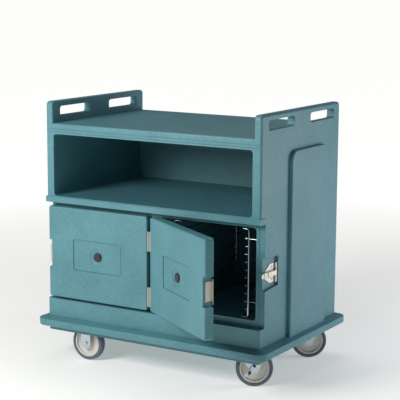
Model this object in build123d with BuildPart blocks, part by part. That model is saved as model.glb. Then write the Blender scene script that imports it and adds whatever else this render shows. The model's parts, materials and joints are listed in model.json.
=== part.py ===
from build123d import *
import os
from math import cos, radians, sin

# Insulated beverage and meal service cart: a rotomoulded, foam-filled body with an open shelf,
# two hinged compartments with wire tray racks, stainless latches, and two rigid and two swivel
# casters. Millimetres. The origin is on the floor, under the middle of the body: +X is the right
# of someone who faces the doors, the doors face -Y, and +Z is up.

# ---- body
body_w = 1042.0  # outside width, without the bumper
body_d = 694.0  # outside depth, without the bumper
corner_r = 10.0
skin = 5.0  # moulded wall
foam_gap = 0.1  # between the moulded wall and the foam it is filled with
deck_z = 1028.0
gallery_z = 1120.0  # top of the two end walls that rise above the deck
gallery_t = 34.0
gallery_r = 16.0
edge_r = 7.0
jamb = 39.0  # side walls around the shelf and the compartments
back_t = 36.0
partition_w = 68.0  # between the two compartments
hand_slot_l = 222.0
hand_slot_h = 41.0
hand_slot_r = 13.0
hand_slot_z = 1075.5  # middle of the slot
hand_slot_y = 181.0  # middle of the slot, from the middle of the cart
shelf_z = 718.0  # floor of the open shelf
shelf_top_z = 983.0
opening_r = 14.0
groove_z = (992.0, 1004.0)
groove_h = 4.0
groove_depth = 2.5
nose_h = 24.0  # the rail along the front of the shelf, above the doors
nose_out = 3.0

# ---- door seat and compartments
seat_z = 268.0
seat_top_z = 690.0
seat_gap = 3.0  # between the back of a closed door and the seat
rim_h = 2.2  # raised rim around each compartment's mouth
rim_w = 12.0
cell_z = 295.0
cell_top_z = 671.0

# ---- base and bumper
caster_face_z = 188.0
lip_z = 128.0
lip_t = 11.0
lip_in = 2.0
bumper_out = 40.0
bumper_z = 150.0
bumper_top_z = 192.0
bumper_r = 45.0
bumper_face_z = 181.0  # top of the upright face, where the sloping top begins
bumper_slope = 36.0  # width of the sloping top
bumper_edge_r = 4.0
bumper_bottom_r = 8.0

# ---- raised panel on each side
panel_y = 46.0
panel_l = 318.0
panel_top_z = 958.0
panel_out = 16.0
panel_r = 42.0
panel_edge_r = 6.0

# ---- doors
door_t = 38.0
door_z = 277.0
door_top_z = 673.0
door_side_gap = 8.0  # from the door's free edge to the side of the body
door_edge_r = 6.0
door_corner_r = 11.0
door_open = 32.5  # degrees that the right door stands open at rest
plug_h = 8.0  # panel on the door's back that enters the compartment
plug_margin = 11.0
notch_depth = 16.0
notch_h = 120.0
notch_z = 466.0
recess_l = 246.0
recess_h = 134.0
recess_depth = 2.0
recess_r = 8.0
recess_z = 472.0
recess_line_w = 3.0  # groove round the recess
recess_line_depth = 1.6
dish_r = 39.0
dish_depth = 7.0
dish_step = 1.2
vent_r = 18.5
vent_hole_r = 15.0
vent_h = 9.0
vent_stem_l = 12.0
vent_fit = 0.2
vent_gap = 0.2  # between the cap's rim and the dish's slope

# ---- hinges
hinge_l = 80.0
hinge_zs = (336.0, 570.0)
hinge_r = 3.6
hinge_pin_r = 2.0
hinge_fit = 0.06
hinge_half_pitch = 5.0  # from the middle of the cart to a door's hinge line
hinge_leaf_t = 1.8
hinge_gap = 0.3
hinge_edge_gap = 0.9  # from a barrel to the edge of its door
knuckles = 3
hinge_screw_r = 2.1
hinge_screw_head_r = 4.0
hinge_screw_l = 18.0
hinge_screw_pitch = 26.0
hinge_foot_w = 19.5  # part of a frame leaf that lies on the partition
hinge_screw_x = 13.0
hinge_screw_back = 21.0  # from the door's front face to the screws in its edge
screw_head_h = 1.6
pin_head_h = 1.5
mortise_gap = 0.2

# ---- latches
latch_z = 480.0
pocket_depth = 12.0
pocket_z = 486.0
pocket_l = 110.0
pocket_front_h = 146.0
pocket_back_h = 120.0
latch_t = 2.0
latch_h = 78.0
latch_l = 86.0  # from the knuckle to the plate's narrow end
latch_square_l = 41.0  # from the knuckle to where the plate starts to narrow
latch_tip_h = 28.0
latch_knuckle_r = 5.0
latch_pin_r = 2.5
latch_knuckle_back = 10.0  # from the pocket's rear wall to the knuckle's centre
latch_fit = 0.06
lever_h = 22.0
lever_t = 2.5
lever_reach = 17.0  # past the seat, into the door's notch
lever_clear = 1.0
lever_tip_h = 26.0
lever_tip_end_h = 14.0
lever_body_h = 7.0
lever_body_front = 28.0  # from the seat to the lever's raised body
latch_screw_r = 2.4
latch_screw_l = 16.0
strike_h = 100.0
strike_t = 2.0
strike_front = 7.0  # from the door's front face to the strike's front flange
strike_front_h = 77.0
strike_foot = 18.0  # part of the strike that lies on the door
strike_screw_pitch = 72.0
strike_screw_l = 14.0
strike_head_h = 0.6

# ---- tray racks
rack_wire_r = 3.8
rung_r = 2.0
rung_count = 10
rung_pitch = 32.0
rung_z = 330.0  # lowest rung
rung_reach = 20.0
rack_off = 48.0  # from the wall to the uprights
rack_front = 22.0  # from the seat to the front upright
rack_l = 520.0
rail_reach = 32.0
rack_top = 40.0  # from the top rung to the top rail
rack_bend = 9.0
rung_bend = 6.0
weld_gap = 0.05
rack_seat_gap = 0.3

# ---- casters
wheel_r = 76.2
tread_w = 30.0
tread_t = 15.0
hub_w = 42.0
hub_r = 21.0
rim_bead = 6.0
web_t = 9.0
bearing_r = 9.0
axle_r = 5.0
axle_fit = 0.05
plate_l = 114.0
plate_w = 86.0
plate_t = 4.0
plate_hole_l = 92.0
plate_hole_w = 60.0
leg_t = 3.5
leg_gap = 0.6  # from the hub's face to the leg
crown_t = 5.0
rigid_in_x = 166.0  # from the side of the body to the middle of the plate
rigid_in_y = 68.0
rigid_leg_w = 49.0
swivel_in_x = 111.0
swivel_in_y = 101.0
swivel_angle = 31.0
trail = 31.0
race_r = 33.0
race_h = 8.0
kingpin_r = 7.0
kingpin_fit = 0.06
kingpin_head_r = 12.0
kingpin_head_h = 5.5
race_gap = 0.3
cage_h = 4.4
crown_r = 33.0
swivel_boss_r = 19.0
swivel_leg_back = 62.0  # top of a leg, behind and in front of the axle
swivel_leg_front = 34.0
swivel_leg = [(30.0, 24.0), (16.0, -10.0), (-15.0, -12.0), (-44.0, 30.0)]  # below, from the axle
hex_r = 8.0
nut_h = 5.0
bolt_r = 4.0
bolt_hex_r = 6.5
plate_corner_r = 8.0
bolt_l = 24.0
insert_r = 7.0
insert_l = 30.0

# ---- brake on the front swivel caster
brake_t = 3.0
brake_w = 13.0
brake_pivot = (-1.0, 17.0)  # from the axle, along the trail and up
brake_knob = (-20.0, -13.0)
brake_toe = (-45.0, -30.0)
brake_head = (7.0, 27.0)
brake_off = 31.5  # from the wheel's middle plane to the lever
brake_stud_r = 3.0
brake_spacer_r = 5.5
knob_r = 5.5
knob_h = 7.0
toe_l = 16.0
toe_turn = 35.0

half_w = body_w / 2
half_d = body_d / 2
seat_depth = door_t + seat_gap
seat_y = -half_d + seat_depth
cell_in = partition_w / 2
cell_out = half_w - jamb
cell_mid = (cell_in + cell_out) / 2
hinge_y = -half_d + hinge_r + 0.1
door_in = hinge_half_pitch + hinge_r + hinge_edge_gap
door_out = half_w - door_side_gap
door_mid = (door_in + door_out) / 2
door_mid_z = (door_z + door_top_z) / 2
door_back_y = -half_d + door_t
recess_x = door_mid
pocket_x = half_w - pocket_depth
pocket_back_y = seat_y + pocket_l
knuckle_x = pocket_x + latch_t + latch_knuckle_r - 1.0
knuckle_y = pocket_back_y - latch_knuckle_back
plate_z = caster_face_z - plate_t
rigid_x = rigid_in_x - half_w
rigid_y = half_d - rigid_in_y
swivel_x = half_w - swivel_in_x
swivel_y = half_d - swivel_in_y
leg_y = hub_w / 2 + leg_gap
dish_y = -half_d + recess_depth + dish_depth
dish_ball_r = (dish_r**2 + dish_depth**2) / (2 * dish_depth)
cap_lift = vent_r**2 / (2 * dish_ball_r) + vent_gap
crown_z = plate_z - race_h - cage_h - 2 * race_gap
kingpin_z = crown_z - crown_t - race_gap - kingpin_head_h
sides = {"left": -1, "right": 1}
ends = {"front": -1, "rear": 1}

os.makedirs("parts", exist_ok=True)
made = []


def save(part, name):
    """Label a finished piece and write it to its own file."""
    part.label = name
    made.append(name)
    export_step(part, f"parts/{name}.step")


def front_plane(y):
    """A vertical plane at y that faces the front: x to the right, y up."""
    return Plane.XZ.offset(-y)


# ------------------------------------------------------------------ body


def block_volume(inset):
    """The body's block with its two end walls: a side outline drawn across, then a trough."""
    with BuildPart() as block:
        with BuildSketch(Plane.YZ.offset(inset - half_w)) as outline:
            with Locations((0, (gallery_z + caster_face_z) / 2)):
                Rectangle(body_d - 2 * inset, gallery_z - caster_face_z - 2 * inset)
            fillet(outline.vertices().group_by(Axis.Y)[-1], gallery_r - inset)
        extrude(amount=body_w - 2 * inset)
        for end_face in block.faces().filter_by(Axis.X):
            rounded = end_face.edges().sort_by(Axis.Z)[1:]
            fillet(rounded, corner_r - inset)
        with BuildSketch(front_plane(-half_d - 1)):
            with Locations((0, gallery_z)):
                Rectangle(body_w - 2 * gallery_t + 2 * inset, 2 * (gallery_z - deck_z + inset))
        extrude(amount=-(body_d + 2), mode=Mode.SUBTRACT)
        inner_faces = block.faces().filter_by(Axis.X).group_by(SortBy.AREA)[0]
        for inner_face in inner_faces:
            fillet(inner_face.edges().sort_by(Axis.Z)[1:], edge_r - inset)
        deck_edges = block.faces().filter_by(Axis.Z).sort_by(SortBy.AREA)[-2].edges()
        fillet(deck_edges.filter_by(Axis.X), edge_r - inset)
        for side in sides.values():
            with BuildSketch(Plane.YZ.offset(side * (half_w + 1))):
                with Locations((-hand_slot_y, hand_slot_z), (hand_slot_y, hand_slot_z)):
                    RectangleRounded(
                        hand_slot_l + 2 * inset, hand_slot_h + 2 * inset, hand_slot_r + inset
                    )
            extrude(amount=-side * (gallery_t + 2), mode=Mode.SUBTRACT)
    return block.part


def panel_volume(side, inset):
    """The raised panel on one side, down into the bumper."""
    height = panel_top_z - caster_face_z
    with BuildPart() as panel:
        with BuildSketch(Plane.YZ.offset(side * (half_w + panel_out - inset))) as outline:
            with Locations((panel_y, panel_top_z - height / 2)):
                Rectangle(panel_l - 2 * inset, height - 2 * inset)
            fillet(outline.vertices().group_by(Axis.Y)[-1], panel_r - inset)
        extrude(amount=-side * (panel_out + jamb / 2))
        outer = panel.faces().sort_by(Axis.X)[-1 if side > 0 else 0]
        fillet(outer.edges().sort_by(Axis.Z)[1:], panel_edge_r - inset / 2)
    return panel.part


def pocket_outline(inset):
    """Corners of a latch pocket in Y and Z: taller at its front than at its back."""
    front = -half_d - 10
    front_h = pocket_front_h / 2 + inset
    back_h = pocket_back_h / 2 + inset
    back = pocket_back_y + inset
    return [
        (front, pocket_z - front_h),
        (back, pocket_z - back_h),
        (back, pocket_z + back_h),
        (front, pocket_z + front_h),
    ]


def hinge_screw_points():
    """Heights of the screws in both hinges of a door."""
    return [z + k * hinge_screw_pitch for z in hinge_zs for k in (-1, 0, 1)]


def caster_places():
    """The four casters' plates, with the height of their mounting face."""
    spots = [(rigid_x, end * rigid_y) for end in ends.values()]
    return spots + [(swivel_x, end * swivel_y) for end in ends.values()]


def plate_holes(x, y):
    """The four bolt places of one caster's plate."""
    halves = [(i * plate_hole_l / 2, j * plate_hole_w / 2) for i in (-1, 1) for j in (-1, 1)]
    return [(x + i, y + j) for i, j in halves]


def cart_volume(inset, drilled):
    """Everything inside the body's surface, moved inwards by inset."""
    slack = 2 * inset
    with BuildPart() as volume:
        add(block_volume(inset))
        for side in sides.values():
            add(panel_volume(side, inset))
        with BuildSketch(Plane.XY.offset(seat_top_z + inset)):
            with Locations((0, -half_d + (jamb - nose_out) / 2)):
                Rectangle(body_w + 2 * nose_out - slack, jamb + nose_out - slack)
        extrude(amount=nose_h - slack)
        with BuildSketch(front_plane(-half_d - nose_out - 1)):
            with Locations((0, (shelf_z + shelf_top_z) / 2)):
                RectangleRounded(
                    2 * cell_out + slack, shelf_top_z - shelf_z + slack, opening_r + inset
                )
        extrude(amount=-(body_d - back_t + nose_out + 1 + inset), mode=Mode.SUBTRACT)
        with BuildSketch(front_plane(-half_d - nose_out - 1)):
            with Locations((-cell_mid, (cell_z + cell_top_z) / 2), (cell_mid, (cell_z + cell_top_z) / 2)):
                RectangleRounded(
                    cell_out - cell_in + slack, cell_top_z - cell_z + slack, opening_r + inset
                )
        extrude(amount=-(body_d - back_t + nose_out + 1 + inset), mode=Mode.SUBTRACT)
        with BuildSketch(front_plane(-half_d - nose_out - 1)):
            with Locations((0, (seat_z + seat_top_z) / 2)):
                Rectangle(body_w + 20, seat_top_z - seat_z + slack)
        extrude(amount=-(seat_depth + nose_out + 1 + inset), mode=Mode.SUBTRACT)
        for side in sides.values():
            with BuildSketch(Plane.YZ.offset(side * (half_w + 1))):
                with BuildLine():
                    Polyline(*pocket_outline(inset), close=True)
                make_face()
            extrude(amount=-side * (pocket_depth + 1 + inset), mode=Mode.SUBTRACT)
        if drilled:
            with BuildSketch(front_plane(seat_y)):
                with Locations(*[(s * hinge_screw_x, z) for s in (-1, 1) for z in hinge_screw_points()]):
                    Circle(hinge_screw_r)
            extrude(amount=-hinge_screw_l, mode=Mode.SUBTRACT)
            with BuildSketch(Plane.XY.offset(caster_face_z)):
                with Locations(*[p for x, y in caster_places() for p in plate_holes(x, y)]):
                    Circle(insert_r)
            extrude(amount=insert_l, mode=Mode.SUBTRACT)
            for side in sides.values():
                with BuildSketch(Plane.YZ.offset(side * pocket_x)):
                    with Locations(*latch_screw_places()):
                        Circle(latch_screw_r)
                extrude(amount=-side * latch_screw_l, mode=Mode.SUBTRACT)
    return volume.part


def latch_screw_places():
    """The two screws of a latch plate, above and below the lever."""
    return [(knuckle_y - 22, latch_z + k * 24) for k in (-1, 1)]


def make_body_shell():
    """The moulded skin, with the rims, the grooves and the hinge seats it alone has."""
    with BuildPart() as body_shell:
        add(cart_volume(0, True))
        with BuildSketch(front_plane(seat_y)):
            with Locations((-cell_mid, (cell_z + cell_top_z) / 2), (cell_mid, (cell_z + cell_top_z) / 2)):
                RectangleRounded(
                    cell_out - cell_in + 2 * rim_w, cell_top_z - cell_z + 2 * rim_w, opening_r + rim_w
                )
                RectangleRounded(
                    cell_out - cell_in, cell_top_z - cell_z, opening_r, mode=Mode.SUBTRACT
                )
        extrude(amount=rim_h)
        with BuildSketch(front_plane(-half_d)):
            with Locations(*[(0, z) for z in groove_z]):
                Rectangle(body_w + 2, groove_h)
        extrude(amount=-groove_depth, mode=Mode.SUBTRACT)
        with BuildSketch(front_plane(seat_y)):
            with Locations(*[(0, z) for z in hinge_zs]):
                foot_end = hinge_half_pitch - hinge_r + hinge_foot_w
                Rectangle(2 * (foot_end + mortise_gap), hinge_l + 2 * mortise_gap)
        extrude(amount=-hinge_leaf_t, mode=Mode.SUBTRACT)
        add(cart_volume(skin, False), mode=Mode.SUBTRACT)
    save(body_shell.part, "body_shell")


def make_body_foam():
    """The foam core that fills the skin."""
    with BuildPart() as body_foam:
        add(cart_volume(skin + foam_gap, True))
    save(body_foam.part, "body_foam")


def make_base_bumper():
    """The solid bumper round the foot of the body, with the lip that hides the casters."""
    with BuildPart() as base_bumper:
        with BuildSketch(Plane.XY.offset(bumper_z)):
            RectangleRounded(body_w + 2 * bumper_out, body_d + 2 * bumper_out, bumper_r)
        extrude(amount=bumper_face_z - bumper_z)
        for z, inwards in ((bumper_face_z, 0), (bumper_top_z, bumper_slope)):
            out = 2 * (bumper_out - inwards)
            with BuildSketch(Plane.XY.offset(z)):
                RectangleRounded(body_w + out, body_d + out, bumper_r - inwards)
        loft()
        fillet(base_bumper.faces().sort_by(Axis.Z)[0].edges(), bumper_bottom_r)
        near_face_z = (bumper_face_z - 0.1, bumper_face_z + 0.1)
        fillet(base_bumper.edges().filter_by_position(Axis.Z, *near_face_z), bumper_edge_r)
        with BuildSketch(Plane.XY.offset(lip_z)):
            RectangleRounded(body_w - 2 * lip_in, body_d - 2 * lip_in, corner_r - lip_in)
        extrude(amount=caster_face_z - lip_z)
        with BuildSketch(Plane.XY.offset(caster_face_z)):
            Rectangle(body_w, body_d)
            with Locations((0, panel_y)):
                RectangleRounded(body_w + 2 * panel_out, panel_l, panel_edge_r)
        extrude(amount=bumper_top_z - caster_face_z + 1, mode=Mode.SUBTRACT)
        with BuildSketch(Plane.XY.offset(lip_z - 1)):
            RectangleRounded(body_w - 2 * lip_t, body_d - 2 * lip_t, corner_r)
        extrude(amount=caster_face_z - lip_z + 2, mode=Mode.SUBTRACT)
    save(base_bumper.part, "base_bumper")


# ------------------------------------------------------------------ doors


def hang(part, side):
    """A door's piece, made closed, turned to where the door stands at rest."""
    angle = -door_open if side > 0 else 0.0
    return part.rotate(Axis((side * hinge_half_pitch, hinge_y, 0), (0, 0, 1)), angle)


def door_volume(side, inset, drilled):
    """Everything inside a door's surface, moved inwards by inset; the door is closed."""
    slack = 2 * inset
    with BuildPart() as volume:
        with BuildSketch(front_plane(inset - half_d)):
            with Locations((side * door_mid, door_mid_z)):
                RectangleRounded(
                    door_out - door_in - slack, door_top_z - door_z - slack, door_corner_r - inset
                )
        extrude(amount=-(door_t - slack))
        fillet(volume.faces().sort_by(Axis.Y)[0].edges(), door_edge_r - inset)
        with BuildSketch(front_plane(door_back_y - inset - 1)):
            with Locations((side * cell_mid, (cell_z + cell_top_z) / 2)):
                RectangleRounded(
                    cell_out - cell_in - 2 * plug_margin - slack,
                    door_top_z - door_z - 2 * (cell_z - door_z + plug_margin) - slack,
                    opening_r - inset / 2,
                )
        extrude(amount=-(plug_h + 1))
        with BuildSketch(front_plane(-half_d - 1)):
            with Locations((side * (door_out + 5 - (notch_depth + inset) / 2), notch_z)):
                Rectangle(notch_depth + inset + 10, notch_h + slack)
        extrude(amount=-(door_t + 2), mode=Mode.SUBTRACT)
        if inset:
            with BuildSketch(front_plane(-half_d)):
                with Locations((side * recess_x, recess_z)):
                    Circle(dish_r + inset)
            extrude(amount=-(recess_depth + dish_depth + inset), mode=Mode.SUBTRACT)
        if drilled:
            with BuildSketch(Plane.YZ.offset(side * door_in)):
                with Locations(*[(hinge_screw_back - half_d, z) for z in hinge_screw_points()]):
                    Circle(hinge_screw_r)
            extrude(amount=side * hinge_screw_l, mode=Mode.SUBTRACT)
            with BuildSketch(front_plane(door_back_y)):
                with Locations(*strike_screw_places(side)):
                    Circle(hinge_screw_r)
            extrude(amount=strike_screw_l, mode=Mode.SUBTRACT)
            with BuildSketch(front_plane(-half_d - 1)):
                with Locations((side * recess_x, recess_z)):
                    Circle(vent_hole_r)
            extrude(amount=-(dish_y + half_d + vent_stem_l + 2), mode=Mode.SUBTRACT)
    return volume.part


def strike_screw_places(side):
    """The strike's two screws, inboard of the notch, in X and Z."""
    x = side * (door_out - notch_depth - strike_foot / 2)
    return [(x, notch_z + k * strike_screw_pitch / 2) for k in (-1, 1)]


def make_door_shell(side, name):
    """The moulded door skin, with the recess, the dish and the strike's seat it alone has."""
    with BuildPart() as door_shell:
        add(door_volume(side, 0, True))
        with BuildSketch(front_plane(-half_d)):
            with Locations((side * recess_x, recess_z)):
                RectangleRounded(recess_l, recess_h, recess_r)
        extrude(amount=-recess_depth, taper=30, mode=Mode.SUBTRACT)
        with BuildSketch(front_plane(-half_d)):
            with Locations((side * recess_x, recess_z)):
                RectangleRounded(recess_l, recess_h, recess_r)
                RectangleRounded(
                    recess_l - 2 * recess_line_w,
                    recess_h - 2 * recess_line_w,
                    recess_r - recess_line_w,
                    mode=Mode.SUBTRACT,
                )
        extrude(amount=-(recess_depth + recess_line_depth), mode=Mode.SUBTRACT)
        with BuildSketch(front_plane(-half_d)):
            with Locations((side * recess_x, recess_z)):
                Circle(dish_r)
        extrude(amount=-(recess_depth + dish_step), mode=Mode.SUBTRACT)
        with Locations((side * recess_x, dish_y - dish_ball_r, recess_z)):
            Sphere(dish_ball_r, mode=Mode.SUBTRACT)
        with BuildSketch(front_plane(door_back_y)):
            with Locations((side * (door_out - (notch_depth + strike_foot) / 2), notch_z)):
                Rectangle(notch_depth + strike_foot + mortise_gap, strike_h + 2 * mortise_gap)
        extrude(amount=strike_t, mode=Mode.SUBTRACT)
        add(door_volume(side, skin, False), mode=Mode.SUBTRACT)
    save(hang(door_shell.part, side), f"{name}_door_shell")


def make_door_foam(side, name):
    """The foam core that fills the door's skin."""
    with BuildPart() as door_foam:
        add(door_volume(side, skin + foam_gap, True))
    save(hang(door_foam.part, side), f"{name}_door_foam")


def make_vent_cap(side, name):
    """The round cap in the middle of the dish, with its stem in the door."""
    with BuildPart() as vent_cap:
        with BuildSketch(front_plane(dish_y - vent_h)):
            with Locations((side * recess_x, recess_z)):
                Circle(vent_r)
        extrude(amount=-(vent_h - cap_lift))
        fillet(vent_cap.faces().sort_by(Axis.Y)[0].edges(), vent_h / 3)
        with BuildSketch(front_plane(dish_y - cap_lift)):
            with Locations((side * recess_x, recess_z)):
                Circle(vent_hole_r - vent_fit)
        extrude(amount=-(vent_stem_l + cap_lift))
    save(hang(vent_cap.part, side), f"{name}_vent_cap")


def make_strike(side, name):
    """The stainless strike round the notch: a foot on the door's back, a floor, a front flange."""
    floor_x = door_out - notch_depth
    foot_x = floor_x - strike_foot
    end_x = door_out - 1
    front_y = -half_d + strike_front
    with BuildPart() as strike:
        with BuildSketch(front_plane(door_back_y)):
            with Locations((side * (foot_x + end_x) / 2, notch_z)):
                Rectangle(end_x - foot_x, strike_h)
        extrude(amount=strike_t)
        with BuildSketch(front_plane(door_back_y)):
            with Locations((side * (floor_x + strike_t / 2), notch_z)):
                Rectangle(strike_t, strike_front_h)
        extrude(amount=door_back_y - front_y)
        with BuildSketch(front_plane(front_y + strike_t)):
            with Locations((side * (floor_x + end_x - 1) / 2, notch_z)):
                Rectangle(end_x - 1 - floor_x, strike_front_h)
        extrude(amount=strike_t)
        with BuildSketch(front_plane(door_back_y)):
            with Locations(*strike_screw_places(side)):
                Circle(hinge_screw_r)
        extrude(amount=strike_t, mode=Mode.SUBTRACT)
    save(hang(strike.part, side), f"{name}_strike")


def make_door_screws(side, name):
    """The screws that hold the door's hinge leaves and its strike."""
    head_x = side * (door_in - hinge_leaf_t)
    with BuildPart() as door_screws:
        with BuildSketch(Plane.YZ.offset(head_x)):
            with Locations(*[(hinge_screw_back - half_d, z) for z in hinge_screw_points()]):
                Circle(hinge_screw_head_r)
        extrude(amount=-side * screw_head_h)
        with BuildSketch(Plane.YZ.offset(head_x)):
            with Locations(*[(hinge_screw_back - half_d, z) for z in hinge_screw_points()]):
                Circle(hinge_screw_r - hinge_fit)
        extrude(amount=side * (hinge_screw_l + hinge_leaf_t - 1))
        with BuildSketch(front_plane(door_back_y)):
            with Locations(*strike_screw_places(side)):
                Circle(hinge_screw_r - hinge_fit)
        extrude(amount=strike_screw_l - 1)
        with BuildSketch(front_plane(door_back_y)):
            with Locations(*strike_screw_places(side)):
                Circle(hinge_screw_head_r)
        extrude(amount=-strike_head_h)
    save(hang(door_screws.part, side), f"{name}_door_screws")


# ------------------------------------------------------------------ hinges


def knuckle_span(z, k):
    """Bottom and height of knuckle k of the hinge at z."""
    height = (hinge_l - (knuckles - 1) * hinge_gap) / knuckles
    return z - hinge_l / 2 + k * (height + hinge_gap), height


def add_knuckles(side, first):
    """Every second knuckle of both hinges, with its bore and the tongue to its leaf."""
    tongue_x = hinge_half_pitch + (-1 if first == 0 else 1) * (hinge_r - hinge_leaf_t / 2)
    if first == 1:
        tongue_x = door_in - hinge_leaf_t / 2
    for z in hinge_zs:
        for k in range(first, knuckles, 2):
            bottom, height = knuckle_span(z, k)
            with BuildSketch(Plane.XY.offset(bottom)) as knuckle:
                with Locations((side * hinge_half_pitch, hinge_y)):
                    Circle(hinge_r)
                with Locations((side * tongue_x, hinge_y + (hinge_r + 1) / 2)):
                    Rectangle(hinge_leaf_t, hinge_r + 1)
                with Locations((side * hinge_half_pitch, hinge_y)):
                    Circle(hinge_pin_r + hinge_fit, mode=Mode.SUBTRACT)
            extrude(knuckle.sketch, amount=height)


def make_frame_leaves(side, name):
    """The hinge leaves on the body: back between the doors, then flat on the partition."""
    leaf_x = hinge_half_pitch - hinge_r
    with BuildPart() as frame_leaves:
        add_knuckles(side, 0)
        for z in hinge_zs:
            with BuildSketch(Plane.XY.offset(z - hinge_l / 2)):
                with BuildLine():
                    front = hinge_y + hinge_r + 0.5
                    back = seat_y + hinge_leaf_t
                    Polyline(
                        (side * leaf_x, front),
                        (side * (leaf_x + hinge_leaf_t), front),
                        (side * (leaf_x + hinge_leaf_t), seat_y),
                        (side * (leaf_x + hinge_foot_w), seat_y),
                        (side * (leaf_x + hinge_foot_w), back),
                        (side * leaf_x, back),
                        close=True,
                    )
                make_face()
            extrude(amount=hinge_l)
        with BuildSketch(front_plane(seat_y - 1)):
            with Locations(*[(side * hinge_screw_x, z) for z in hinge_screw_points()]):
                Circle(hinge_screw_r)
        extrude(amount=-(hinge_leaf_t + 2), mode=Mode.SUBTRACT)
    save(frame_leaves.part, f"{name}_hinge_frame_leaves")


def make_door_leaves(side, name):
    """The hinge leaves screwed to the door's edge."""
    leaf_x = door_in - hinge_leaf_t / 2
    front = hinge_y + hinge_r + 0.5
    back = door_back_y - 2
    with BuildPart() as door_leaves:
        add_knuckles(side, 1)
        for z in hinge_zs:
            with BuildSketch(Plane.XY.offset(z - hinge_l / 2)):
                with Locations((side * leaf_x, (front + back) / 2)):
                    Rectangle(hinge_leaf_t, back - front)
            extrude(amount=hinge_l)
        with BuildSketch(Plane.YZ.offset(side * (door_in + 1))):
            with Locations(*[(hinge_screw_back - half_d, z) for z in hinge_screw_points()]):
                Circle(hinge_screw_r)
        extrude(amount=-side * (hinge_leaf_t + 2), mode=Mode.SUBTRACT)
    save(hang(door_leaves.part, side), f"{name}_hinge_door_leaves")


def make_hinge_pins(side, name):
    """One pin through each hinge, with a round head at both ends."""
    with BuildPart() as hinge_pins:
        for z in hinge_zs:
            with BuildSketch(Plane.XY.offset(z - hinge_l / 2)):
                with Locations((side * hinge_half_pitch, hinge_y)):
                    Circle(hinge_pin_r)
            extrude(amount=hinge_l)
            for head_z in (z - hinge_l / 2 - pin_head_h, z + hinge_l / 2):
                with BuildSketch(Plane.XY.offset(head_z)):
                    with Locations((side * hinge_half_pitch, hinge_y)):
                        Circle(hinge_r - 0.6)
                extrude(amount=pin_head_h)
    save(hinge_pins.part, f"{name}_hinge_pins")


def make_frame_screws():
    """The screws that hold the frame leaves to the partition."""
    places = [(s * hinge_screw_x, z) for s in sides.values() for z in hinge_screw_points()]
    with BuildPart() as frame_screws:
        with BuildSketch(front_plane(seat_y)):
            with Locations(*places):
                Circle(hinge_screw_r - hinge_fit)
        extrude(amount=-(hinge_screw_l - 1))
        with BuildSketch(front_plane(seat_y)):
            with Locations(*places):
                Circle(hinge_screw_head_r)
        extrude(amount=screw_head_h)
    save(frame_screws.part, "hinge_frame_screws")


# ------------------------------------------------------------------ latches


def make_latch_base(side, name):
    """The trapezoid plate in the pocket, with the two outer knuckles."""
    front = knuckle_y - latch_l
    back = knuckle_y + 3
    wide = knuckle_y - latch_square_l
    outline = [
        (back, latch_h / 2),
        (wide, latch_h / 2),
        (front, latch_tip_h / 2),
        (front, -latch_tip_h / 2),
        (wide, -latch_h / 2),
        (back, -latch_h / 2),
    ]
    with BuildPart() as latch_base:
        with BuildSketch(Plane.YZ.offset(side * pocket_x)) as plate:
            with BuildLine():
                Polyline(*[(y, latch_z + z) for y, z in outline], close=True)
            make_face()
            fillet(plate.vertices().sort_by(Axis.Y)[:4], 5)
            with Locations(*latch_screw_places()):
                Circle(latch_screw_r, mode=Mode.SUBTRACT)
        extrude(amount=side * latch_t)
        for z in (latch_z - latch_h / 2, latch_z + lever_h / 2 + hinge_gap):
            with BuildSketch(Plane.XY.offset(z)):
                with Locations((side * knuckle_x, knuckle_y)):
                    Circle(latch_knuckle_r)
                    Circle(latch_pin_r, mode=Mode.SUBTRACT)
            extrude(amount=(latch_h - lever_h) / 2 - hinge_gap)
        with BuildSketch(Plane.XY.offset(latch_z - lever_h / 2 - hinge_gap)):
            with Locations((side * knuckle_x, knuckle_y)):
                Circle(latch_knuckle_r + hinge_gap)
        extrude(amount=lever_h + 2 * hinge_gap, mode=Mode.SUBTRACT)
    save(latch_base.part, f"{name}_latch_base")


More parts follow.
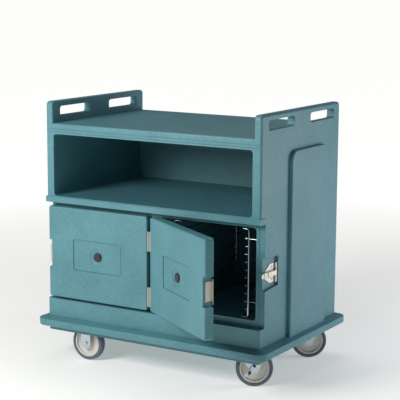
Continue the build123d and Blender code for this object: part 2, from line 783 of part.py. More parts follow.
def make_latch_lever(side, name):
    """The lever: a knuckle, a strap, a pressed body and a tip that reaches the notch."""
    strap_x = knuckle_x + latch_knuckle_r - lever_t / 2
    strap_end = seat_y + 8
    body_front = seat_y + lever_body_front
    body_back = knuckle_y - latch_knuckle_r - 4
    tip_x = door_out + lever_clear + lever_t / 2
    tip_end = seat_y - lever_reach
    with BuildPart() as lever:
        with BuildSketch(Plane.XY.offset(latch_z - lever_h / 2)):
            with Locations((side * knuckle_x, knuckle_y)):
                Circle(latch_knuckle_r)
            with Locations((side * strap_x, (knuckle_y + strap_end) / 2)):
                Rectangle(lever_t, knuckle_y - strap_end)
            with Locations((side * knuckle_x, knuckle_y)):
                Circle(latch_pin_r + latch_fit, mode=Mode.SUBTRACT)
        extrude(amount=lever_h)
        with BuildSketch(Plane.XY.offset(latch_z - lever_tip_h / 2)):
            with BuildLine():
                Polyline(
                    (side * (strap_x - lever_t / 2), strap_end + 4),
                    (side * (strap_x + lever_t / 2), strap_end + 4),
                    (side * (strap_x + lever_t / 2), strap_end - 3),
                    (side * (tip_x + lever_t / 2), strap_end - 13),
                    (side * (tip_x + lever_t / 2), tip_end),
                    (side * (tip_x - lever_t / 2), tip_end),
                    (side * (tip_x - lever_t / 2), strap_end - 14),
                    (side * (strap_x - lever_t / 2), strap_end - 4),
                    close=True,
                )
            make_face()
        extrude(amount=lever_tip_h)
        tip_slope = (lever_tip_h - lever_tip_end_h) / 2
        for z, turn in ((latch_z - lever_tip_h / 2, 1), (latch_z + lever_tip_h / 2, -1)):
            with BuildSketch(Plane.YZ.offset(side * pocket_x)):
                with BuildLine():
                    Polyline(
                        (tip_end - 1, z - turn),
                        (tip_end - 1, z + turn * tip_slope),
                        (tip_end, z + turn * tip_slope),
                        (strap_end, z),
                        (strap_end, z - turn),
                        close=True,
                    )
                make_face()
            extrude(amount=side * 2 * pocket_depth, mode=Mode.SUBTRACT)
        with BuildSketch(Plane.YZ.offset(side * (knuckle_x + 1))):
            with Locations(((body_front + body_back) / 2, latch_z)):
                RectangleRounded(body_back - body_front, lever_h, 4)
        extrude(amount=side * lever_body_h)
        outer = lever.faces().sort_by(Axis.X)[-1 if side > 0 else 0]
        fillet(outer.edges(), 2)
    save(lever.part, f"{name}_latch_lever")


def make_latch_pins():
    """The pins of both latches."""
    with BuildPart() as latch_pins:
        for side in sides.values():
            with BuildSketch(Plane.XY.offset(latch_z - latch_h / 2)):
                with Locations((side * knuckle_x, knuckle_y)):
                    Circle(latch_pin_r)
            extrude(amount=latch_h)
            for head_z in (latch_z - latch_h / 2 - pin_head_h, latch_z + latch_h / 2):
                with BuildSketch(Plane.XY.offset(head_z)):
                    with Locations((side * knuckle_x, knuckle_y)):
                        Circle(latch_knuckle_r - 1)
                extrude(amount=pin_head_h)
    save(latch_pins.part, "latch_pins")


def make_latch_screws():
    """The screws of both latch plates."""
    with BuildPart() as latch_screws:
        for side in sides.values():
            with BuildSketch(Plane.YZ.offset(side * (pocket_x + latch_t))):
                with Locations(*latch_screw_places()):
                    Circle(latch_screw_r - latch_fit)
            extrude(amount=-side * (latch_t + latch_screw_l - 1))
            with BuildSketch(Plane.YZ.offset(side * (pocket_x + latch_t))):
                with Locations(*latch_screw_places()):
                    Circle(2 * latch_screw_r)
            extrude(amount=side * screw_head_h)
    save(latch_screws.part, "latch_screws")


# ------------------------------------------------------------------ tray racks


def add_wire(points, radius, bend):
    """A round wire through the points, with its corners bent."""
    with BuildLine() as path:
        if len(points) > 2:
            FilletPolyline(*points, radius=bend)
        else:
            Line(*points)
    with BuildSketch(Plane(origin=path.line @ 0, z_dir=path.line % 0)) as section:
        Circle(radius)
    sweep(section.sketch, path=path.line)


def make_rack(x, inward, wall_x, name):
    """One tray rack: two uprights, a rail at both ends, rungs, and stand-offs to the wall."""
    front = seat_y + rack_front
    rear = front + rack_l
    bottom = cell_z + rack_wire_r + rack_seat_gap
    top = rung_z + (rung_count - 1) * rung_pitch + rack_top
    join = rack_bend + 1
    weld = rack_wire_r + weld_gap
    away = 1 if wall_x > x else -1
    with BuildPart() as rack:
        for y in (front, rear):
            add_wire([(x, y, bottom + join), (x, y, top - join)], rack_wire_r, 0)
            for z in (rung_z + rung_pitch, rung_z + (rung_count - 1) * rung_pitch):
                tail = [(x + away * weld, y, z), (wall_x - away * rack_seat_gap, y, z)]
                add_wire(tail, rung_r, 0)
        for z, turn in ((bottom, 1), (top, -1)):
            corner = z + turn * join
            rail_x = x + inward * rail_reach
            rail = [(x, front, corner), (x, front, z), (rail_x, front, z)]
            rail += [(rail_x, rear, z), (x, rear, z), (x, rear, corner)]
            add_wire(rail, rack_wire_r, rack_bend)
        for k in range(rung_count):
            z = rung_z + k * rung_pitch
            near = x + inward * weld
            far = x + inward * rung_reach
            rung = [(near, front, z), (far, front, z), (far, rear, z), (near, rear, z)]
            add_wire(rung, rung_r, rung_bend)
    save(rack.part, name)


# ------------------------------------------------------------------ casters


def axle_plane(x, y, angle):
    """Section plane of a wheel: x along the axle, y up, normal along the way it rolls."""
    c, s = cos(radians(angle)), sin(radians(angle))
    return Plane(origin=(x, y, wheel_r), x_dir=(-s, c, 0), z_dir=(c, s, 0))


def side_plane(x, y, angle, offset):
    """Plane beside a wheel: x along the way it rolls, y up from the axle, normal outwards."""
    c, s = cos(radians(angle)), sin(radians(angle))
    plane = Plane(origin=(x, y, wheel_r), x_dir=(c, s, 0), z_dir=(s, -c, 0))
    return plane.offset(offset)


def make_wheel(x, y, angle, name):
    """Tyre, moulded core and bearing sleeve of one wheel."""
    plane = axle_plane(x, y, angle)
    axis = Axis(plane.origin, plane.x_dir)
    with BuildPart() as tyre:
        with BuildSketch(plane):
            with Locations((0, wheel_r - tread_t / 2)):
                RectangleRounded(tread_w, tread_t, tread_t / 3)
        revolve(axis=axis)
    save(tyre.part, f"{name}_tyre")
    rim_r = wheel_r - tread_t - foam_gap
    with BuildPart() as core:
        with BuildSketch(plane) as section:
            with Locations((0, rim_r - rim_bead / 2)):
                Rectangle(tread_w - 3, rim_bead)
            with Locations((0, (rim_r + hub_r) / 2)):
                Rectangle(web_t, rim_r - hub_r)
            with Locations((0, (hub_r + bearing_r) / 2)):
                Rectangle(hub_w, hub_r - bearing_r)
            inner = [v for v in section.vertices() if v.Z - wheel_r > bearing_r + 1]
            fillet(inner, 1.5)
        revolve(axis=axis)
    save(core.part, f"{name}_core")
    with BuildPart() as bearing:
        with BuildSketch(plane):
            with Locations((0, (bearing_r + axle_r + axle_fit - foam_gap) / 2)):
                Rectangle(hub_w + leg_gap, bearing_r - axle_r - axle_fit - foam_gap)
        revolve(axis=axis)
    save(bearing.part, f"{name}_bearing")


def make_axle(x, y, angle, name):
    """The axle bolt: a hexagon head on the outside and a nut on the inside."""
    outer = leg_y + leg_t
    with BuildPart() as axle:
        with BuildSketch(side_plane(x, y, angle, -outer - nut_h)):
            RegularPolygon(hex_r, 6)
        extrude(amount=nut_h)
        with BuildSketch(side_plane(x, y, angle, -outer)):
            Circle(axle_r)
        extrude(amount=2 * outer)
        with BuildSketch(side_plane(x, y, angle, outer)):
            RegularPolygon(hex_r, 6)
        extrude(amount=nut_h)
    save(axle.part, f"{name}_axle")


def add_plate(x, y):
    """A caster's top plate with its four bolt holes."""
    with BuildSketch(Plane.XY.offset(plate_z)) as plate:
        with Locations((x, y)):
            RectangleRounded(plate_l, plate_w, plate_corner_r)
        with Locations(*plate_holes(x, y)):
            Circle(bolt_r + 0.5, mode=Mode.SUBTRACT)
    extrude(plate.sketch, amount=plate_t)


def make_rigid_fork(x, y, name):
    """A rigid caster's fork: two straight legs with round ends under the plate."""
    top = plate_z - wheel_r
    with BuildPart() as fork:
        add_plate(x, y)
        for offset in (-leg_y - leg_t, leg_y):
            with BuildSketch(side_plane(x, y, 0, offset)):
                Circle(rigid_leg_w / 2)
                with Locations((0, top / 2)):
                    Rectangle(rigid_leg_w, top)
                Circle(axle_r + axle_fit, mode=Mode.SUBTRACT)
            extrude(amount=leg_t)
    save(fork.part, f"{name}_fork")


def make_swivel_plate(x, y, name):
    """A swivel caster's top plate, with its upper race and the headed kingpin."""
    with BuildPart() as swivel_plate:
        add_plate(x, y)
        with BuildSketch(Plane.XY.offset(plate_z - race_h)):
            with Locations((x, y)):
                Circle(race_r)
        extrude(amount=race_h)
        with BuildSketch(Plane.XY.offset(kingpin_z)):
            with Locations((x, y)):
                Circle(kingpin_r)
        extrude(amount=plate_z - kingpin_z)
        with BuildSketch(Plane.XY.offset(kingpin_z)):
            with Locations((x, y)):
                Circle(kingpin_head_r)
        extrude(amount=kingpin_head_h)
    save(swivel_plate.part, f"{name}_plate")


def make_swivel_race(x, y, name):
    """The ball cage between the upper race and the fork's crown."""
    with BuildPart() as swivel_race:
        with BuildSketch(Plane.XY.offset(crown_z + race_gap)):
            with Locations((x, y)):
                Circle(race_r - 3)
                Circle(kingpin_r + 8, mode=Mode.SUBTRACT)
        extrude(amount=cage_h)
    save(swivel_race.part, f"{name}_race")


def make_swivel_fork(x, y, wheel_x, wheel_y, name, braked):
    """A swivel fork: a crown round the kingpin and two tapered legs that trail to the axle."""
    angle = swivel_angle
    with BuildPart() as fork:
        crown = Plane(
            origin=(wheel_x, wheel_y, crown_z - crown_t),
            x_dir=(cos(radians(angle)), sin(radians(angle)), 0),
            z_dir=(0, 0, 1),
        )
        with BuildSketch(crown):
            with Locations(((swivel_leg_front - swivel_leg_back) / 2, 0)):
                Rectangle(swivel_leg_front + swivel_leg_back, 2 * (leg_y + leg_t))
            with Locations((-trail, 0)):
                Circle(crown_r)
                Circle(kingpin_r + kingpin_fit, mode=Mode.SUBTRACT)
        extrude(amount=crown_t)
        leg_top = crown_z - wheel_r
        outline = [(-swivel_leg_back, leg_top), (swivel_leg_front, leg_top)] + swivel_leg
        for offset in (-leg_y - leg_t, leg_y):
            with BuildSketch(side_plane(wheel_x, wheel_y, angle, offset)):
                with BuildLine():
                    Polyline(*outline, close=True)
                make_face()
                Circle(swivel_boss_r)
                Circle(axle_r + axle_fit, mode=Mode.SUBTRACT)
                if braked and offset > 0:
                    with Locations(brake_pivot):
                        Circle(brake_stud_r + axle_fit, mode=Mode.SUBTRACT)
            extrude(amount=leg_t)
    save(fork.part, f"{name}_fork")


def make_brake(wheel_x, wheel_y):
    """The wheel brake: a bent lever on a stud, with a winged knob on each."""
    angle = swivel_angle
    leg_out = leg_y + leg_t
    face = brake_off + brake_t
    with BuildPart() as brake_lever:
        with BuildSketch(side_plane(wheel_x, wheel_y, angle, brake_off)):
            with BuildLine():
                Polyline(brake_head, brake_pivot, brake_knob, brake_toe)
            trace(line_width=brake_w)
            with Locations(brake_pivot):
                Circle(brake_stud_r + axle_fit, mode=Mode.SUBTRACT)
        extrude(amount=brake_t)
        with BuildSketch(side_plane(wheel_x, wheel_y, angle, brake_off)):
            with Locations(Location((brake_toe[0], brake_toe[1], 0), (0, 0, toe_turn))):
                Rectangle(brake_t, brake_w)
        extrude(amount=toe_l)
    save(brake_lever.part, "brake_lever")
    with BuildPart() as brake_pivot_stud:
        with BuildSketch(side_plane(wheel_x, wheel_y, angle, leg_y)):
            with Locations(brake_pivot):
                Circle(brake_stud_r)
        extrude(amount=face - leg_y + 1)
        with BuildSketch(side_plane(wheel_x, wheel_y, angle, leg_out)):
            with Locations(brake_pivot):
                Circle(brake_spacer_r)
        extrude(amount=brake_off - leg_out - foam_gap)
        with BuildSketch(side_plane(wheel_x, wheel_y, angle, face + foam_gap)):
            with Locations(brake_pivot):
                Circle(knob_r)
        extrude(amount=knob_h)
    save(brake_pivot_stud.part, "brake_pivot")
    with BuildPart() as knob:
        with BuildSketch(side_plane(wheel_x, wheel_y, angle, face)):
            with Locations(brake_knob):
                Circle(knob_r)
                SlotOverall(3.4 * knob_r, 0.7 * knob_r, rotation=60)
        extrude(amount=knob_h)
    save(knob.part, "brake_knob")


def make_caster_bolts():
    """Four hexagon bolts in each caster's plate."""
    places = [p for x, y in caster_places() for p in plate_holes(x, y)]
    with BuildPart() as caster_bolts:
        with BuildSketch(Plane.XY.offset(plate_z - nut_h)):
            with Locations(*places):
                RegularPolygon(bolt_hex_r, 6)
        extrude(amount=nut_h)
        with BuildSketch(Plane.XY.offset(plate_z)):
            with Locations(*places):
                Circle(bolt_r)
        extrude(amount=bolt_l)
    save(caster_bolts.part, "caster_bolts")


def make_caster_inserts():
    """The threaded insert that each bolt goes into, moulded into the base."""
    places = [p for x, y in caster_places() for p in plate_holes(x, y)]
    with BuildPart() as caster_inserts:
        with BuildSketch(Plane.XY.offset(caster_face_z)):
            with Locations(*places):
                Circle(insert_r - foam_gap)
                Circle(bolt_r + foam_gap, mode=Mode.SUBTRACT)
        extrude(amount=insert_l - 1)
    save(caster_inserts.part, "caster_inserts")


make_body_shell()
make_body_foam()
make_base_bumper()
for side_name, side_sign in sides.items():
    make_door_shell(side_sign, side_name)
    make_door_foam(side_sign, side_name)
    make_vent_cap(side_sign, side_name)
    make_strike(side_sign, side_name)
    make_door_screws(side_sign, side_name)
    make_frame_leaves(side_sign, side_name)
    make_door_leaves(side_sign, side_name)
    make_hinge_pins(side_sign, side_name)
    make_latch_base(side_sign, side_name)
    make_latch_lever(side_sign, side_name)
    outer_x = side_sign * (cell_out - rack_off)
    inner_x = side_sign * (cell_in + rack_off)
    make_rack(outer_x, -side_sign, side_sign * cell_out, f"{side_name}_outer_rack")
    make_rack(inner_x, side_sign, side_sign * cell_in, f"{side_name}_inner_rack")
make_frame_screws()
make_latch_pins()
make_latch_screws()
trail_x = trail * cos(radians(swivel_angle))
trail_y = trail * sin(radians(swivel_angle))
for end_name, end_sign in ends.items():
    make_rigid_fork(rigid_x, end_sign * rigid_y, f"{end_name}_rigid")
    make_axle(rigid_x, end_sign * rigid_y, 0, f"{end_name}_rigid")
    make_wheel(rigid_x, end_sign * rigid_y, 0, f"{end_name}_rigid")
    pin_y = end_sign * swivel_y
    hub_x = swivel_x + trail_x
    hub_y = pin_y + trail_y
    make_swivel_plate(swivel_x, pin_y, f"{end_name}_swivel")
    make_swivel_race(swivel_x, pin_y, f"{end_name}_swivel")
    make_swivel_fork(swivel_x, pin_y, hub_x, hub_y, f"{end_name}_swivel", end_sign < 0)
    make_axle(hub_x, hub_y, swivel_angle, f"{end_name}_swivel")
    make_wheel(hub_x, hub_y, swivel_angle, f"{end_name}_swivel")
    if end_sign < 0:
        make_brake(hub_x, hub_y)
make_caster_bolts()
make_caster_inserts()
print(len(made), "sub-parts")
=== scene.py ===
"""Looks for an insulated beverage service cart: finishes, stage, lights and camera.

Metres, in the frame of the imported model: the origin is on the floor under the middle of the body,
the doors face -Y and +Z is up.
"""

import json
import math

import bpy
import numpy as np
from mathutils import Matrix, Vector

bl_info = {
    "name": "Insulated service cart",
    "version": (1, 0, 0),
    "blender": (4, 5, 0),
    "location": "View3D > Sidebar > Cart",
    "description": "Finishes and stage for an insulated beverage service cart",
    "category": "Object",
}

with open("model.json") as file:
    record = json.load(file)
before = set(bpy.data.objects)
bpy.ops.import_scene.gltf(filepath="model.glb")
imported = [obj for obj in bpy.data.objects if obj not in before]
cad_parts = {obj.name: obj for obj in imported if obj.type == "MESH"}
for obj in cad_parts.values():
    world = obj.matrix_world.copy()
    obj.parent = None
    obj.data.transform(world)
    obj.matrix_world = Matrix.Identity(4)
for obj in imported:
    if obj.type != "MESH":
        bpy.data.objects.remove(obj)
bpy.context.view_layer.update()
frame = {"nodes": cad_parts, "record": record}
NODES = frame["nodes"]

MM = 0.001
PATCH_WIDTH = 160.0 * MM

# Painted light on the floor: it glows more away from the cart and less to its right, so painted shade
# lies round the cart and a painted shadow to its right. Where, and how strongly.
FLOOR_HALF = 200.0
GLOW_START, GLOW_END = 1.0, 4.5
GLOW_NEAR, GLOW_FAR = 0.34, 0.95
SHADE_START, SHADE_END = 1.2, 3.2
SHADE_RIGHT = 0.3

# Each light: its name, place, target, the side of its square, watts and tint.
MIDDLE = (0.0, 0.0, 0.6)
LIGHTS = (
    ("key", (-1.0, -2.9, 2.0), MIDDLE, 1.1, 84.0, "#FFFCF8"),
    ("side", (1.9, 1.2, 0.7), (0.5, 0.3, 0.5), 0.9, 15.0, "#F4F9FF"),
    ("top", (-0.2, 0.8, 3.4), MIDDLE, 1.6, 18.0, "#FFFFFF"),
)
WORLD_COLOUR = "#E6EAEC"
WORLD_STRENGTH = 0.18

CAMERA_PLACE = (2.9473, -4.8220, 1.6590)
CAMERA_AZIMUTH = 31.13
CAMERA_PITCH = 9.69
CAMERA_ROLL = -0.32
CAMERA_LENS = 119.86
SENSOR_WIDTH = 36.0
CLIP_END = 1000.0


# ------------------------------------------------------------------ colours


def linear(code):
    """An sRGB hex colour as linear red, green, blue and alpha."""
    parts = np.array([int(code[i : i + 2], 16) for i in (1, 3, 5)]) / 255.0
    low = parts / 12.92
    high = ((parts + 0.055) / 1.055) ** 2.4
    return tuple(float(v) for v in np.where(parts <= 0.04045, low, high)) + (1.0,)


def colour_property(name, text, code):
    """A colour that a user can change, with its default given as a hex code."""
    return bpy.props.FloatVectorProperty(
        name=name, description=text, subtype="COLOR", size=4, min=0.0, max=1.0, default=linear(code)
    )


def length_property(name, text, millimetres):
    """A length that a user can change, with its default given in millimetres."""
    return bpy.props.FloatProperty(
        name=name, description=text, unit="LENGTH", min=0.0, default=millimetres * MM
    )


class CartColours(bpy.types.PropertyGroup):
    """Colours of the cart's materials and of the stage."""

    moulding: colour_property("Moulding", "Teal polyethylene of the body and doors", "#568B95")
    moulding_shade: colour_property("Moulding shade", "Darker patches of the moulding", "#467983")
    plug: colour_property("Plug", "Black plug in each door", "#222327")
    stainless: colour_property("Stainless", "Latches, hinges and strikes", "#C9C4BC")
    wire: colour_property("Wire", "Drawn wire of the tray racks", "#A9ADB0")
    zinc: colour_property("Zinc", "Bright zinc on forks and plates", "#BFC8D2")
    fastener: colour_property("Fastener", "Bolts, nuts and pins", "#C4CCD0")
    tread: colour_property("Tread", "Tyres", "#56626E")
    core: colour_property("Core", "Moulded wheel cores", "#CFCDC6")
    black_oxide: colour_property("Black oxide", "Blackened steel of the brake", "#1D1D1F")
    foam: colour_property("Foam", "Rigid foam inside the mouldings", "#D9CDA4")
    brass: colour_property("Brass", "Threaded inserts", "#B08D4C")
    floor: colour_property("Floor", "Pale studio floor", "#F4F4F2")


class CartSizes(bpy.types.PropertyGroup):
    """Sizes of the patterns on the surfaces.

    The real grain is about a millimetre and the real brushing finer than that. Both are drawn as
    coarse as they need to be to show from the camera.
    """

    grain: length_property("Grain", "Grain of the moulded surface", 7.0)
    grain_depth: length_property("Grain depth", "Depth of the moulded grain", 0.5)
    brush: length_property("Brushing", "Spacing of the brushed lines", 1.5)


# ------------------------------------------------------------------ materials


def add_node(tree, kind, settings=None, inputs=None):
    """Add one shader node, with its settings and its values or links."""
    new = tree.nodes.new(kind)
    for key, value in (settings or {}).items():
        setattr(new, key, value)
    for key, value in (inputs or {}).items():
        if isinstance(value, bpy.types.NodeSocket):
            tree.links.new(value, new.inputs[key])
        else:
            new.inputs[key].default_value = value
    return new


def new_material(name, inputs):
    """A material with one Principled shader, and that shader and its tree."""
    material = bpy.data.materials.new(name)
    material.use_nodes = True
    tree = material.node_tree
    tree.nodes.clear()
    shader = add_node(tree, "ShaderNodeBsdfPrincipled", inputs=inputs)
    output = add_node(tree, "ShaderNodeOutputMaterial", inputs={"Surface": shader.outputs[0]})
    output.is_active_output = True
    return material, tree, shader


def plain_material(name, inputs):
    """A material of one even finish."""
    return new_material(name, inputs)[0]


def object_noise(tree, size, stretch=(1, 1, 1), detail=2.0, roughness=0.5):
    """Noise on Object coordinates whose blobs are about size metres wide, stretched by axis."""
    place = add_node(tree, "ShaderNodeTexCoord")
    scale = tuple(1.0 / s for s in stretch)
    mapped = add_node(
        tree, "ShaderNodeMapping", inputs={"Vector": place.outputs["Object"], "Scale": scale}
    )
    return add_node(
        tree,
        "ShaderNodeTexNoise",
        inputs={
            "Vector": mapped.outputs[0],
            "Scale": 1.0 / size,
            "Detail": detail,
            "Roughness": roughness,
        },
    )


def rotomoulded_polyethylene():
    """Linear low-density polyethylene from a grained mould: soft sheen, fine pebble, even colour."""
    colours = bpy.context.scene.cart_colours
    sizes = bpy.context.scene.cart_sizes
    material, tree, shader = new_material(
        "rotomoulded_polyethylene",
        {"Metallic": 0.0, "Roughness": 0.48, "IOR": 1.51, "Specular IOR Level": 0.45},
    )
    patches = object_noise(tree, PATCH_WIDTH, detail=3.0)
    pebble = object_noise(tree, sizes.grain, detail=3.0, roughness=0.6)
    blend = add_node(
        tree, "ShaderNodeMath", {"operation": "MULTIPLY_ADD"}, {0: pebble.outputs["Fac"], 1: 1.6}
    )
    tree.links.new(patches.outputs["Fac"], blend.inputs[2])
    ramp = add_node(
        tree,
        "ShaderNodeMapRange",
        inputs={"Value": blend.outputs[0], "From Min": 0.95, "From Max": 1.65},
    )
    tint = add_node(
        tree,
        "ShaderNodeMix",
        {"data_type": "RGBA"},
        {"Factor": ramp.outputs[0], "A": tuple(colours.moulding_shade), "B": tuple(colours.moulding)},
    )
    tree.links.new(tint.outputs["Result"], shader.inputs["Base Color"])
    bump = add_node(
        tree,
        "ShaderNodeBump",
        inputs={
            "Strength": 0.6,
            "Distance": sizes.grain_depth,
            "Height": pebble.outputs["Fac"],
        },
    )
    tree.links.new(bump.outputs[0], shader.inputs["Normal"])
    return material


def acetal_black():
    """Injection-moulded black acetal: smooth, with a low gloss."""
    colours = bpy.context.scene.cart_colours
    return plain_material(
        "moulded_black_acetal",
        {"Base Color": tuple(colours.plug), "Roughness": 0.38, "IOR": 1.48},
    )


def brushed_stainless():
    """Cold-rolled 304 stainless, brushed along its length: fine upright lines in a soft shine."""
    colours = bpy.context.scene.cart_colours
    sizes = bpy.context.scene.cart_sizes
    material, tree, shader = new_material(
        "brushed_stainless_304",
        {"Base Color": tuple(colours.stainless), "Metallic": 1.0, "Roughness": 0.34},
    )
    lines = object_noise(tree, sizes.brush, stretch=(1, 1, 30), detail=1.0)
    rough = add_node(
        tree,
        "ShaderNodeMapRange",
        inputs={"Value": lines.outputs["Fac"], "To Min": 0.24, "To Max": 0.44},
    )
    tree.links.new(rough.outputs[0], shader.inputs["Roughness"])
    bump = add_node(
        tree,
        "ShaderNodeBump",
        inputs={"Strength": 0.3, "Distance": 0.05 * MM, "Height": lines.outputs["Fac"]},
    )
    tree.links.new(bump.outputs[0], shader.inputs["Normal"])
    return material


def drawn_wire():
    """Drawn and electropolished stainless wire: bright, with a narrow highlight."""
    colours = bpy.context.scene.cart_colours
    return plain_material(
        "electropolished_stainless_wire",
        {"Base Color": tuple(colours.wire), "Metallic": 1.0, "Roughness": 0.2},
    )


def bright_zinc():
    """Pressed steel in bright zinc: cool silver, a little uneven from the press."""
    colours = bpy.context.scene.cart_colours
    material, tree, shader = new_material(
        "bright_zinc_plated_steel",
        {"Base Color": tuple(colours.zinc), "Metallic": 1.0, "Roughness": 0.3},
    )
    cloud = object_noise(tree, 18.0 * MM, detail=2.0)
    rough = add_node(
        tree,
        "ShaderNodeMapRange",
        inputs={"Value": cloud.outputs["Fac"], "To Min": 0.22, "To Max": 0.4},
    )
    tree.links.new(rough.outputs[0], shader.inputs["Roughness"])
    return material


def turned_fastener():
    """Turned and plated steel of bolts, nuts and pins."""
    colours = bpy.context.scene.cart_colours
    return plain_material(
        "plated_turned_steel",
        {"Base Color": tuple(colours.fastener), "Metallic": 1.0, "Roughness": 0.27},
    )


def black_oxide_steel():
    """Blackened steel: dark, with a dull metallic sheen."""
    colours = bpy.context.scene.cart_colours
    return plain_material(
        "black_oxide_steel",
        {"Base Color": tuple(colours.black_oxide), "Metallic": 0.6, "Roughness": 0.4},
    )


def cast_polyurethane():
    """Cast polyurethane of the tyres: dull, dark slate, lighter where it has worn."""
    colours = bpy.context.scene.cart_colours
    material, tree, shader = new_material(
        "cast_polyurethane_tread",
        {"Base Color": tuple(colours.tread), "Roughness": 0.55, "IOR": 1.5},
    )
    scuffs = object_noise(tree, 6.0 * MM, detail=3.0)
    rough = add_node(
        tree,
        "ShaderNodeMapRange",
        inputs={"Value": scuffs.outputs["Fac"], "To Min": 0.45, "To Max": 0.7},
    )
    tree.links.new(rough.outputs[0], shader.inputs["Roughness"])
    return material


def moulded_polyolefin():
    """Injection-moulded polyolefin of the wheel cores: warm pale grey with a satin skin."""
    colours = bpy.context.scene.cart_colours
    return plain_material(
        "moulded_polyolefin_core",
        {"Base Color": tuple(colours.core), "Roughness": 0.4, "IOR": 1.49},
    )


def rigid_foam():
    """Poured polyurethane foam inside the mouldings."""
    colours = bpy.context.scene.cart_colours
    return plain_material(
        "poured_rigid_foam", {"Base Color": tuple(colours.foam), "Roughness": 0.9}
    )


def machined_brass():
    """Knurled brass of the threaded inserts."""
    colours = bpy.context.scene.cart_colours
    return plain_material(
        "machined_brass",
        {"Base Color": tuple(colours.brass), "Metallic": 1.0, "Roughness": 0.3},
    )


def matt_floor():
    """Matt pale studio floor that glows: painted light, with painted shade near the cart and a
    painted shadow to its right.
    """
    colours = bpy.context.scene.cart_colours
    material, tree, shader = new_material(
        "matt_floor_painted_shade",
        {
            "Base Color": tuple(colours.floor),
            "Roughness": 0.9,
            "Emission Color": tuple(colours.floor),
        },
    )
    place = add_node(tree, "ShaderNodeTexCoord")
    away = add_node(
        tree, "ShaderNodeVectorMath", {"operation": "LENGTH"}, {0: place.outputs["Object"]}
    )
    # Painted shade: the floor's glow is dimmer near the cart.
    painted_glow = add_node(
        tree,
        "ShaderNodeMapRange",
        inputs={
            "Value": away.outputs["Value"],
            "From Min": GLOW_START,
            "From Max": GLOW_END,
            "To Min": GLOW_NEAR,
            "To Max": GLOW_FAR,
        },
    )
    along = add_node(tree, "ShaderNodeSeparateXYZ", inputs={0: place.outputs["Object"]})
    # Painted shadow: the floor's glow fades to the right of the cart.
    painted_shade_right = add_node(
        tree,
        "ShaderNodeMapRange",
        inputs={
            "Value": along.outputs["X"],
            "From Min": SHADE_START,
            "From Max": SHADE_END,
            "To Min": 1.0,
            "To Max": SHADE_RIGHT,
        },
    )
    both = add_node(
        tree, "ShaderNodeMath", {"operation": "MULTIPLY"}, {0: painted_glow.outputs[0], 1: painted_shade_right.outputs[0]}
    )
    tree.links.new(both.outputs[0], shader.inputs["Emission Strength"])
    return material


MAKERS = {
    "body_plastic": rotomoulded_polyethylene,
    "foam": rigid_foam,
    "black_plastic": acetal_black,
    "stainless": brushed_stainless,
    "wire": drawn_wire,
    "fastener": turned_fastener,
    "zinc": bright_zinc,
    "black_steel": black_oxide_steel,
    "tread": cast_polyurethane,
    "wheel_core": moulded_polyolefin,
    "insert": machined_brass,
    "floor": matt_floor,
}
made_materials = {}


def material_for(slot):
    """The material of one of the record's slots, made when it is first wanted."""
    if slot not in made_materials:
        made_materials[slot] = MAKERS[slot]()
    return made_materials[slot]


def finish_nodes(slots):
    """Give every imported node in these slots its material."""
    for entry in frame["record"]["subparts"]:
        if entry["material_slot"] in slots:
            mesh = NODES[entry["node"]].data
            mesh.materials.clear()
            mesh.materials.append(material_for(entry["material_slot"]))


# ------------------------------------------------------------------ operators


class CART_OT_mouldings(bpy.types.Operator):
    """Finish the moulded body, bumper and doors"""

    bl_idname = "cart.mouldings"
    bl_label = "Mouldings"

    def execute(self, context):
        finish_nodes({"body_plastic", "foam", "black_plastic"})
        return {"FINISHED"}


class CART_OT_metalwork(bpy.types.Operator):
    """Finish the latches, hinges, strikes, racks and fasteners"""

    bl_idname = "cart.metalwork"
    bl_label = "Metalwork"

    def execute(self, context):
        finish_nodes({"stainless", "wire", "fastener", "insert", "black_steel"})
        return {"FINISHED"}


class CART_OT_running_gear(bpy.types.Operator):
    """Finish the forks, wheels and brake"""

    bl_idname = "cart.running_gear"
    bl_label = "Running gear"

    def execute(self, context):
        finish_nodes({"zinc", "tread", "wheel_core"})
        return {"FINISHED"}


def add_area_light(name, place, target, size, watts, tint):
    """A square soft box at a place, facing a target."""
    light = bpy.data.lights.new(name, "AREA")
    light.shape = "SQUARE"
    light.size = size
    light.energy = watts
    light.color = linear(tint)[:3]
    lamp = bpy.data.objects.new(name, light)
    lamp.location = place
    lamp.rotation_mode = "QUATERNION"
    toward = Vector(target) - Vector(place)
    lamp.rotation_quaternion = toward.to_track_quat("-Z", "Y")
    lamp.visible_camera = False
    bpy.context.scene.collection.objects.link(lamp)


def add_camera():
    """A long lens from the front right, a little above the deck, with a slight roll."""
    azimuth = math.radians(CAMERA_AZIMUTH)
    pitch = math.radians(CAMERA_PITCH)
    roll = math.radians(CAMERA_ROLL)
    camera = bpy.data.objects.new("camera", bpy.data.cameras.new("camera"))
    camera.data.lens = CAMERA_LENS
    camera.data.sensor_width = SENSOR_WIDTH
    camera.data.clip_end = CLIP_END
    turn = Matrix.Rotation(azimuth, 4, "Z") @ Matrix.Rotation(math.pi / 2 - pitch, 4, "X")
    place = Matrix.Translation(CAMERA_PLACE)
    camera.matrix_world = place @ turn @ Matrix.Rotation(-roll, 4, "Z")
    bpy.context.scene.collection.objects.link(camera)
    bpy.context.scene.camera = camera


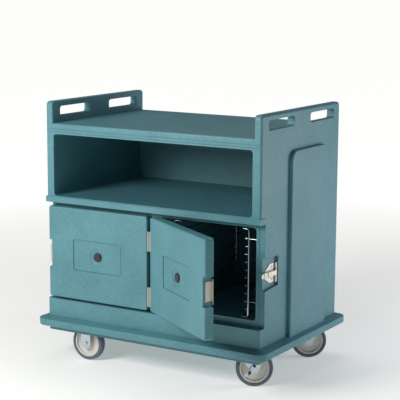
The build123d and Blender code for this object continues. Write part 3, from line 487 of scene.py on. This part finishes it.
class CART_OT_stage(bpy.types.Operator):
    """Add the floor, the soft studio light and the camera"""

    bl_idname = "cart.stage"
    bl_label = "Stage"

    def execute(self, context):
        half = FLOOR_HALF
        corners = [(-half, -half, 0), (half, -half, 0), (half, half, 0), (-half, half, 0)]
        mesh = bpy.data.meshes.new("floor")
        mesh.from_pydata(corners, [], [(0, 1, 2, 3)])
        mesh.materials.append(material_for("floor"))
        floor = bpy.data.objects.new("floor", mesh)
        context.scene.collection.objects.link(floor)
        world = bpy.data.worlds.new("studio")
        world.use_nodes = True
        background = world.node_tree.nodes["Background"]
        background.inputs["Color"].default_value = linear(WORLD_COLOUR)
        background.inputs["Strength"].default_value = WORLD_STRENGTH
        context.scene.world = world
        context.scene.view_settings.view_transform = "Standard"
        for light in LIGHTS:
            add_area_light(*light)
        add_camera()
        return {"FINISHED"}


class CART_PT_panel(bpy.types.Panel):
    """Lists the cart's colours, sizes and steps"""

    bl_label = "Service cart"
    bl_idname = "CART_PT_panel"
    bl_space_type = "VIEW_3D"
    bl_region_type = "UI"
    bl_category = "Cart"

    def draw(self, context):
        for group in (context.scene.cart_colours, context.scene.cart_sizes):
            for key in group.__annotations__:
                self.layout.prop(group, key)
        for step in STEPS:
            self.layout.operator(step.bl_idname)


STEPS = (
    CART_OT_mouldings,
    CART_OT_metalwork,
    CART_OT_running_gear,
    CART_OT_stage,
)
CLASSES = (CartColours, CartSizes) + STEPS + (CART_PT_panel,)


def register():
    """Add the cart's classes and properties to Blender."""
    for cls in CLASSES:
        bpy.utils.register_class(cls)
    bpy.types.Scene.cart_colours = bpy.props.PointerProperty(type=CartColours)
    bpy.types.Scene.cart_sizes = bpy.props.PointerProperty(type=CartSizes)


def unregister():
    """Take the cart's classes and properties out of Blender."""
    del bpy.types.Scene.cart_colours
    del bpy.types.Scene.cart_sizes
    for cls in reversed(CLASSES):
        bpy.utils.unregister_class(cls)


def main():
    """Run every step in order."""
    register()
    for step in STEPS:
        group, name = step.bl_idname.split(".")
        getattr(getattr(bpy.ops, group), name)()


if __name__ == "__main__":
    main()
